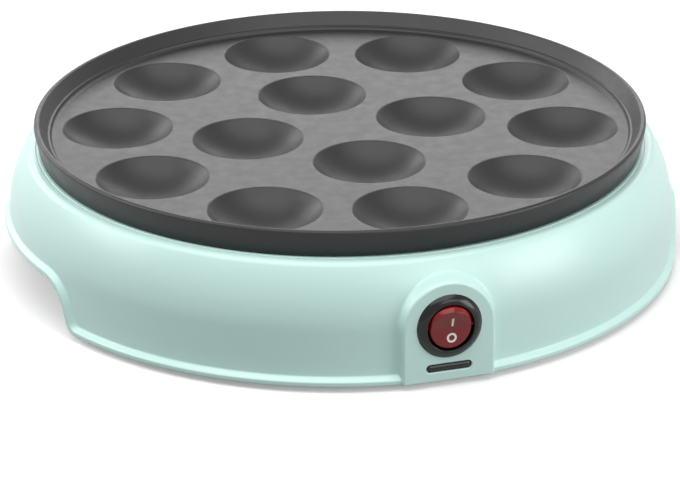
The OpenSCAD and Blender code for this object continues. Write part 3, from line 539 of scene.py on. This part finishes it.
def housing_point(column, row):
    """Place of one vertex of the housing."""
    kind, at = column
    zone = row[0]
    if kind == "plain":
        level = at
        edge = None
    else:
        edge = hold_edge(at)
        turn = at / HOLD_LENGTH * math.asin(HOLD_ZONE / LIP_R)
        level = math.pi / 2 + turn if kind == "right" else 3 * math.pi / 2 - turn
    if zone == "ring":
        return level, row[1], row[2]
    if zone == "upper":
        z, inset = row[1], row[2]
        radius = wall_radius(z, inset)
        if inset:
            return level, with_panel(radius, level, z, PANEL_HALF_W - WALL_T, LIP_R - WALL_T), z
        return level, with_panel(radius, level, z, PANEL_HALF_W, LIP_R), z
    if zone == "inside":
        t = row[1]
        if edge is None:
            z = EDGE_Z + (GUIDE_Z - EDGE_Z) * t
            azimuth = level
        else:
            foot = around(kind, edge[0], wall_radius(edge[1], WALL_T))
            z = edge[1] + (GUIDE_Z - edge[1]) * t
            azimuth = foot + (level - foot) * t
        radius = wall_radius(z, WALL_T)
        return azimuth, with_panel(radius, azimuth, z, PANEL_HALF_W - WALL_T, LIP_R - WALL_T), z
    rise = row[2] if zone == "lip" else LIP_ROWS_END
    reach = row[1] if zone == "lip" else 0.0
    if edge is None:
        azimuth, z = level, EDGE_Z + rise
    else:
        z = edge[1] + rise * edge[3]
        azimuth = around(kind, edge[0] + rise * edge[2], wall_radius(z) + reach)
    if zone == "wall":
        azimuth += (level - azimuth) * row[1]
        z += (GUIDE_Z - z) * row[1]
    radius = wall_radius(z) + min(reach, 0.0)
    if reach <= -WALL_T:
        return azimuth, with_panel(radius, azimuth, z, PANEL_HALF_W - WALL_T, LIP_R - WALL_T), z
    inset = LIP_PROUD - reach if rise < LIP_EDGE_ROUND else 0.0
    return azimuth, with_panel(radius, azimuth, z, PANEL_HALF_W, LIP_R - inset, max(reach, 0.0)), z


def housing_shell():
    """The moulding as one closed skin, pulled from a flat grid of rows and columns."""
    rows = housing_rows()
    columns = housing_columns()
    bm = bmesh.new()
    bmesh.ops.create_grid(bm, x_segments=len(columns), y_segments=len(rows), size=1)
    for vert in bm.verts:
        column = round((vert.co.x + 1) / 2 * len(columns)) % len(columns)
        row = round((vert.co.y + 1) / 2 * len(rows)) % len(rows)
        azimuth, radius, z = housing_point(columns[column], rows[row])
        vert.co = Vector((radius * math.sin(azimuth), -radius * math.cos(azimuth), z))
    bmesh.ops.remove_doubles(bm, verts=bm.verts, dist=MERGE_DISTANCE)
    bmesh.ops.recalc_face_normals(bm, faces=bm.faces)
    return bm


def add_copies(bm, shape, places):
    """Adds a copy of a shape at each place, and frees the shape."""
    mesh = bpy.data.meshes.new("copy")
    for place in places:
        copied = shape.copy()
        bmesh.ops.translate(copied, vec=place, verts=copied.verts)
        copied.to_mesh(mesh)
        copied.free()
        bm.from_mesh(mesh)
    shape.free()
    bpy.data.meshes.remove(mesh)


def bar(bm, width, height, length, flare=()):
    """A bar with round ends along -Y from the origin, whose end grows by the steps (y, extra) in flare."""
    ends = bmesh.ops.create_circle(
        bm, cap_ends=True, segments=48, radius=height / 2, matrix=Matrix.Rotation(math.pi / 2, 4, "X"),
    )["verts"]
    for vert in ends:
        vert.co.x += math.copysign((width - height) / 2, vert.co.x)
    face = ends[0].link_faces[0]
    for end, extra in ((length, 0.0), *flare):
        grown = bmesh.ops.extrude_discrete_faces(bm, faces=[face])["faces"]
        face = grown[0]
        for vert in face.verts:
            vert.co.y = -end
            if extra:
                side = math.copysign((width - height) / 2, vert.co.x)
                out = Vector((vert.co.x - side, 0, vert.co.z)).normalized()
                vert.co += out * extra


def without(bm, cutter):
    """The first shape with the second one cut out of it."""
    made = []
    for name, shape in (("shape", bm), ("cutter", cutter)):
        mesh = bpy.data.meshes.new(name)
        shape.to_mesh(mesh)
        shape.free()
        made.append(bpy.data.objects.new(name, mesh))
        bpy.context.scene.collection.objects.link(made[-1])
    shape, cutter = made
    cut = shape.modifiers.new("cut", "BOOLEAN")
    cut.operation = "DIFFERENCE"
    cut.solver = "EXACT"
    cut.object = cutter
    result = bmesh.new()
    result.from_object(shape, bpy.context.evaluated_depsgraph_get())
    for thing in made:
        mesh = thing.data
        bpy.data.objects.remove(thing)
        bpy.data.meshes.remove(mesh)
    return result


def housing_cuts():
    """The holes for the switch and the gland, and the slot for the tray's latch."""
    bm = bmesh.new()
    turned = Matrix.Rotation(math.pi / 2, 4, "X")
    for at_y, at_z, radius in ((-LIP_R, SWITCH_Z, SWITCH_HOLE_R), (WALL_R, GLAND_Z, GLAND_HOLE_R)):
        bmesh.ops.create_cone(
            bm, cap_ends=True, segments=96, radius1=radius, radius2=radius, depth=4 * WALL_T,
            matrix=Matrix.Translation((0, at_y, at_z)) @ turned,
        )
    slot = bmesh.new()
    bar(slot, SLOT_W, SLOT_H, 2 * WALL_T - SLOT_CHAMFER, [(3 * WALL_T, SLOT_CHAMFER + WALL_T)])
    add_copies(bm, slot, [Vector((0, 2 * WALL_T - LIP_R, SLOT_Z))])
    bmesh.ops.recalc_face_normals(bm, faces=bm.faces)
    return bm


finished(
    "moulded_housing", without(housing_shell(), housing_cuts()), FINISHES["mint_abs"], "cooker",
    ["housing"],
)


# Cooking plate


def spun(points, steps):
    """A line of (radius, z) points spun once round the Z axis."""
    bm = bmesh.new()
    verts = [bm.verts.new((r, 0, z)) for r, z in points]
    edges = [bm.edges.new(pair) for pair in zip(verts, verts[1:])]
    bmesh.ops.spin(
        bm, geom=verts + edges, cent=(0, 0, 0), axis=(0, 0, 1), dvec=(0, 0, 0), angle=2 * math.pi,
        steps=steps, use_merge=True,
    )
    bmesh.ops.remove_doubles(bm, verts=bm.verts, dist=MERGE_DISTANCE)
    return bm


def arc_points(centre, radius, start, end, steps):
    """Points on an arc, with its angles in degrees."""
    angles = [math.radians(start + (end - start) * k / steps) for k in range(steps + 1)]
    return [(centre[0] + radius * math.cos(a), centre[1] + radius * math.sin(a)) for a in angles]


def rim_profile():
    """Section of the plate's rim, from the cooking surface over the crown to the underside."""
    soft = RIM_EDGE_ROUND
    foot = BAND_FOOT_ROUND
    step_at = (FLOOR_R + LEDGE_Z - SURFACE_Z + soft, LEDGE_Z - soft)
    crown_at = (PLATE_R - RIM_ROUND, RIM_Z - RIM_ROUND)
    lean = math.degrees(math.atan2(RIM_Z - RIM_ROUND - LEDGE_Z, RIM_INNER_LEAN))
    band_lean = math.degrees(math.atan2(PLATE_R - BAND_R, RIM_Z - RIM_ROUND - BAND_Z))
    points = [(FLOOR_R - FLAT_RING, SURFACE_Z)]
    points += arc_points((FLOOR_R, LEDGE_Z), LEDGE_Z - SURFACE_Z, -90, -LEDGE_LEAN, steps=6)
    points += arc_points(step_at, soft, 180 - LEDGE_LEAN, 90, steps=4)
    points += arc_points((LEDGE_R - soft, LEDGE_Z + soft), soft, -90, lean - 90, steps=4)
    points += arc_points(crown_at, RIM_ROUND, 90 + lean, -band_lean, steps=16)
    points += arc_points((BAND_R - foot, BAND_Z + foot), foot, -band_lean, -90, steps=6)
    points += [(OPENING_R + BAND_CHAMFER_W, BAND_Z), (OPENING_R, BAND_Z + BAND_CHAMFER_H)]
    points.append((OPENING_R, UNDER_Z))
    return points


def on_ring(ring_r, angles):
    """Places on a ring, at angles in degrees from the X axis."""
    return [Matrix.Rotation(math.radians(a), 3, "Z") @ Vector((ring_r, 0, 0)) for a in angles]


def boss(radius, low_z, high_z):
    """A round boss on the Z axis, with its lower edge rounded."""
    soft = RIM_EDGE_ROUND
    edge = arc_points((radius - soft, low_z + soft), soft, -90, 0, steps=4)
    return spun([(0.0, low_z), *edge, (radius, high_z), (0.0, high_z)], steps=48)


def well_places():
    """Centres of the wells on the cooking surface, in two rings that start at the front."""
    for count, ring_r in ((OUTER_WELLS, OUTER_RING_R), (INNER_WELLS, INNER_RING_R)):
        for k in range(count):
            angle = 2 * math.pi * k / count - math.pi / 2
            yield Vector((ring_r * math.cos(angle), ring_r * math.sin(angle), 0))


def plate():
    """The casting: a spun rim, spun wells and their domes, and the flat webs filled in between."""
    bm = spun(rim_profile(), steps=360)
    sphere_z = SURFACE_Z + WELL_SPHERE_R - WELL_DEPTH
    meet = math.degrees(math.asin(WELL_R / (WELL_SPHERE_R + WELL_EDGE_R)))
    edge = [(WELL_R + FLAT_RING, SURFACE_Z)]
    edge += arc_points((WELL_R, SURFACE_Z - WELL_EDGE_R), WELL_EDGE_R, 90, 90 + meet, steps=6)
    bowl = arc_points((0, sphere_z), WELL_SPHERE_R, meet - 90, -90, steps=16)[1:]
    dome_lean = math.degrees(math.acos((sphere_z - UNDER_Z) / DOME_SPHERE_R))
    dome = arc_points((0, sphere_z), DOME_SPHERE_R, -90, dome_lean - 90, steps=8)
    add_copies(bm, spun(edge + bowl, steps=96), well_places())
    add_copies(bm, spun(dome, steps=72), well_places())
    for level in (SURFACE_Z, UNDER_Z):
        rims = [e for e in bm.edges if e.is_boundary and all(abs(v.co.z - level) < NEAR for v in e.verts)]
        bmesh.ops.triangle_fill(bm, edges=rims, use_beauty=True, use_dissolve=False)
    for radius, low_z, ring_r, angles in PLATE_BOSSES:
        add_copies(bm, boss(radius, low_z, UNDER_Z + BOSS_SUNK), on_ring(ring_r, angles))
    bmesh.ops.recalc_face_normals(bm, faces=bm.faces)
    return bm


finished("cast_plate", plate(), FINISHES["nonstick"], "cooker", ["cooking_plate"])


# Switch, and the latch under it


def switch_shell():
    """The switch's barrel with its domed bezel, its snap wings and the bearings of its lever."""
    lean = math.radians(BEZEL_DOME_START)
    soft = BEZEL_EDGE_ROUND
    edge_at = (BEZEL_CREST_R - soft * math.sin(lean), BEZEL_T - soft * math.cos(lean))
    dome_at = (BEZEL_CREST_R - BEZEL_DOME_R * math.sin(lean), BEZEL_T - BEZEL_DOME_R * math.cos(lean))
    points = [(0.0, BARREL_FLOOR), (edge_at[0] - soft, BARREL_FLOOR)]
    points += arc_points(edge_at, soft, 180, 90 - BEZEL_DOME_START, steps=6)
    points += arc_points(dome_at, BEZEL_DOME_R, 90 - BEZEL_DOME_START, 90 - BEZEL_DOME_END, steps=10)[1:]
    # The dome runs out to the panel at 45 degrees, so its foot is at its radius plus its height
    points += [(sum(points[-1]), 0.0), (BARREL_R, 0.0), (BARREL_R, -SWITCH_DEPTH), (0.0, -SWITCH_DEPTH)]
    bm = spun(points, steps=128)
    for x, z, size in ((BARREL_R, SNAP_WING_Z, SNAP_WING), (LEVER_EAR_X, LEVER_EAR_Z, LEVER_EAR)):
        for side in (-x, x):
            block = Matrix.LocRotScale(Vector((side, 0, z)), None, Vector(size))
            bmesh.ops.create_cube(bm, size=1, matrix=block)
    bmesh.ops.recalc_face_normals(bm, faces=bm.faces)
    place = Matrix.Translation((0, -LIP_R, SWITCH_Z)) @ Matrix.Rotation(math.pi / 2, 4, "X")
    bmesh.ops.transform(bm, matrix=place, verts=bm.verts)
    return bm


def key_face(up):
    """How far the key's hollow face stands out of its pivot at a height on it."""
    return KEY_DIP + math.tan(KEY_TILT) * (math.hypot(up, KEY_HOLLOW) - KEY_HOLLOW)


def key_frame():
    """From the key's own frame, x across, y up and z out of the panel, to the part's frame at rest."""
    pivot = Vector(next(j for j in frame["joints"] if j["name"] == "rocker_tilt")["pos_m"]) / MM
    upright = Matrix.Translation(pivot) @ Matrix.Rotation(math.pi / 2, 4, "X")
    return upright @ Matrix.Rotation(KEY_TILT, 4, "X")


def key():
    """The switch's key: a hollow cap with a bevelled rim, its pivot pins and its stem."""
    lean = math.radians(KEY_CONE_LEAN)
    cone_out = KEY_R - KEY_SIDE_ROUND * (1 - math.sin(lean))
    face_r = cone_out - KEY_CONE_W - KEY_FACE_ROUND * math.sin(lean)
    cone_low = KEY_FACE_ROUND * (1 - math.cos(lean)) + KEY_CONE_W * math.tan(lean)
    top = [(face_r * k / KEY_FACE_RINGS, 0.0) for k in range(KEY_FACE_RINGS)]
    top += arc_points((face_r, -KEY_FACE_ROUND), KEY_FACE_ROUND, 90, 90 - KEY_CONE_LEAN, steps=6)
    side_z = -cone_low - KEY_SIDE_ROUND * math.cos(lean)
    top += arc_points((KEY_R - KEY_SIDE_ROUND, side_z), KEY_SIDE_ROUND, 90 - KEY_CONE_LEAN, 0, steps=4)
    back = [(KEY_R - KEY_SIDE_DRAFT, KEY_TAPER_Z), (KEY_BACK_R, KEY_BACK_Z)]
    inner_r = KEY_BACK_R - KEY_WALL
    inner = [(inner_r, KEY_BACK_Z), (inner_r, KEY_ROOF_Z), (0.0, KEY_ROOF_Z)]
    bm = spun(top + back + inner, steps=96)
    for vert in bm.verts:
        if vert.co.z > KEY_TAPER_Z + NEAR:
            vert.co.z += key_face(vert.co.y)
    for radius, length, turn, middle in (
        (PIN_R, 2 * PIN_REACH, Matrix.Rotation(math.pi / 2, 4, "Y"), 0.0),
        (STEM_R, STEM_LENGTH, Matrix.Identity(4), -STEM_LENGTH / 2),
    ):
        bmesh.ops.create_cone(
            bm, cap_ends=True, segments=32, radius1=radius, radius2=radius, depth=length,
            matrix=Matrix.Translation((0, 0, middle)) @ turn,
        )
    bmesh.ops.recalc_face_normals(bm, faces=bm.faces)
    bmesh.ops.transform(bm, matrix=key_frame(), verts=bm.verts)
    return bm


def on_mark():
    """The stroke printed on the key's upper half."""
    bm = bmesh.new()
    bmesh.ops.create_grid(bm, x_segments=1, y_segments=6, size=0.5)
    bmesh.ops.scale(bm, vec=Vector((MARK_STROKE, ON_MARK_H, 1)), verts=bm.verts)
    bmesh.ops.translate(bm, vec=Vector((MARK_X, ON_MARK_UP, 0)), verts=bm.verts)
    return bm


def off_mark():
    """The ring printed on the key's lower half."""
    bm = bmesh.new()
    inner = bmesh.ops.create_circle(bm, segments=48, radius=OFF_MARK_R - MARK_STROKE)["verts"]
    edges = list({e for v in inner for e in v.link_edges})
    grown = bmesh.ops.extrude_edge_only(bm, edges=edges)["geom"]
    outer = [g for g in grown if isinstance(g, bmesh.types.BMVert)]
    growth = OFF_MARK_R / (OFF_MARK_R - MARK_STROKE)
    bmesh.ops.scale(bm, vec=Vector((growth, growth, 1)), verts=outer)
    bmesh.ops.translate(bm, vec=Vector((MARK_X, OFF_MARK_UP, 0)), verts=bm.verts)
    return bm


def printed(bm):
    """A flat mark laid on the key's face, as thick as its ink."""
    faces = list(bm.faces)
    raised = bmesh.ops.extrude_face_region(bm, geom=faces)["geom"]
    for vert in bm.verts:
        vert.co.z = key_face(vert.co.y) - INK_T
    for vert in (g for g in raised if isinstance(g, bmesh.types.BMVert)):
        vert.co.z += 2 * INK_T
    bmesh.ops.recalc_face_normals(bm, faces=bm.faces)
    bmesh.ops.transform(bm, matrix=key_frame(), verts=bm.verts)
    return bm


def latch_tip():
    """The crowned tip of the tray's latch, which shows in the slot under the switch."""
    bm = bmesh.new()
    bar(bm, LATCH_W, LATCH_H, LATCH_SIDE, LATCH_CROWN)
    bmesh.ops.recalc_face_normals(bm, faces=bm.faces)
    bmesh.ops.translate(bm, vec=Vector((0, LATCH_ROOT - LIP_R, SLOT_Z)), verts=bm.verts)
    return bm


finished("latch_tip", latch_tip(), FINISHES["gloss_black"], "cooker")
finished("switch_shell", switch_shell(), FINISHES["gloss_black"], "cooker", ["switch_body"])
finished("switch_key", key(), FINISHES["red_rocker"], "switch_rocker", ["rocker"])
finished("mark_on", printed(on_mark()), INK, "switch_rocker")
finished("mark_off", printed(off_mark()), INK, "switch_rocker")


# Camera, at the photograph's angle: distances in metres from the middle of the rim

RIM_CENTRE = Vector((0, 0, RIM_Z)) * MM
AZIMUTH = math.radians(-17.25)
ELEVATION = math.radians(21.171)
ROLL = math.radians(-0.418)
DISTANCE = 1.336
AIM_RIGHT = -0.0003
AIM_DOWN = 0.0491
LENS_MM = 191.22
SENSOR_MM = 36
back = Vector((
    math.sin(AZIMUTH) * math.cos(ELEVATION), -math.cos(AZIMUTH) * math.cos(ELEVATION), math.sin(ELEVATION),
))
right = Vector((math.cos(AZIMUTH), math.sin(AZIMUTH), 0))
up = back.cross(right)
camera_data = bpy.data.cameras.new("camera")
camera_data.sensor_width = SENSOR_MM
camera_data.lens = LENS_MM
camera = bpy.data.objects.new("camera", camera_data)
bpy.context.scene.collection.objects.link(camera)
camera.location = RIM_CENTRE + back * DISTANCE
aim = RIM_CENTRE + right * AIM_RIGHT - up * AIM_DOWN
camera.rotation_mode = "QUATERNION"
camera.rotation_quaternion = (aim - camera.location).to_track_quat("-Z", "Y") @ Quaternion((0, 0, 1), ROLL)
bpy.context.scene.camera = camera


# Floor, light and background

# Paper floor, in metres: a mid tone for the light it throws on the object, a pale one where it is seen.
# Its glow grows with the distance from the object, so that the far floor is white.
PAPER_R = 2.6
PAPER_LIT = "646464"
PAPER_SEEN = "E4E4E4"
GLOW_NEAR = 0.35
GLOW_FAR = 1.3
GLOW_MIN = 0.3

# Strength of the white background as a light, and the place that all lamps point at
STUDIO_FILL = 0.12
LAMP_AIM = Vector((0, 0, 0.03))


def is_seen(tree):
    """1 for a ray from the camera, from a reflection or through glass, and 0 for light on the object."""
    path = add_node(tree, "ShaderNodeLightPath")
    first = add_node(
        tree, "ShaderNodeMath", {"operation": "MAXIMUM"},
        {0: path.outputs["Is Camera Ray"], 1: path.outputs["Is Glossy Ray"]},
    )
    both = add_node(
        tree, "ShaderNodeMath", {"operation": "MAXIMUM"},
        {0: first.outputs[0], 1: path.outputs["Is Transmission Ray"]},
    )
    return both.outputs[0]


floor_mesh = bpy.data.meshes.new("floor")
bm = bmesh.new()
bmesh.ops.create_circle(bm, cap_ends=True, segments=96, radius=PAPER_R)
bm.to_mesh(floor_mesh)
bm.free()
floor = bpy.data.objects.new("floor", floor_mesh)
bpy.context.scene.collection.objects.link(floor)
paper = bpy.data.materials.new("white_paper")
paper.use_nodes = True
tree = paper.node_tree
bsdf = tree.nodes["Principled BSDF"]
seen = is_seen(tree)
tone = add_node(
    tree, "ShaderNodeMix", {"data_type": "RGBA", "A": linear(PAPER_LIT), "B": linear(PAPER_SEEN)},
    {"Factor": seen},
)
tree.links.new(tone.outputs["Result"], bsdf.inputs["Base Color"])
bsdf.inputs["Roughness"].default_value = 0.9
bsdf.inputs["Specular IOR Level"].default_value = 0.0
bsdf.inputs["Emission Color"].default_value = linear("FFFFFF")
place = add_node(tree, "ShaderNodeTexCoord")
away = add_node(tree, "ShaderNodeVectorMath", {"operation": "LENGTH"}, {0: place.outputs["Object"]})
fade = add_node(
    tree, "ShaderNodeMapRange",
    {"From Min": GLOW_NEAR, "From Max": GLOW_FAR, "To Min": GLOW_MIN, "To Max": 1.0},
    {"Value": away.outputs["Value"]},
)
glow = add_node(tree, "ShaderNodeMath", {"operation": "MULTIPLY"}, {0: seen, 1: fade.outputs["Result"]})
tree.links.new(glow.outputs[0], bsdf.inputs["Emission Strength"])
floor_mesh.materials.append(paper)

world = bpy.data.worlds.new("studio")
bpy.context.scene.world = world
world.use_nodes = True
tree = world.node_tree
background = tree.nodes["Background"]
background.inputs["Color"].default_value = linear("FFFFFF")
strength = add_node(
    tree, "ShaderNodeMapRange", {"To Min": STUDIO_FILL, "To Max": 1.0}, {"Value": is_seen(tree)},
)
tree.links.new(strength.outputs["Result"], background.inputs["Strength"])


def softbox(name, place, size, power):
    """A large soft lamp that points at the object, in metres and watts."""
    data = bpy.data.lights.new(name, "AREA")
    data.shape = "RECTANGLE"
    data.size, data.size_y = size
    data.energy = power
    lamp = bpy.data.objects.new(name, data)
    bpy.context.scene.collection.objects.link(lamp)
    lamp.location = place
    lamp.rotation_mode = "QUATERNION"
    lamp.rotation_quaternion = (LAMP_AIM - Vector(place)).to_track_quat("-Z", "Y")


softbox("top_softbox", (-0.2, -0.35, 1.36), (1.8, 1.3), 18.5)
softbox("front_softbox", (0.42, -1.55, 0.9), (0.9, 0.5), 4.5)
softbox("right_softbox", (1.1, -0.9, 0.4), (0.8, 0.7), 9.5)
softbox("left_softbox", (-1.25, 0.35, 0.8), (0.7, 0.8), 9)
softbox("back_left_softbox", (-0.75, 1.25, 0.6), (0.8, 0.6), 5)
softbox("back_softbox", (0.5, 1.5, 0.75), (1.4, 0.7), 8)

bpy.context.scene.view_settings.view_transform = "Standard"
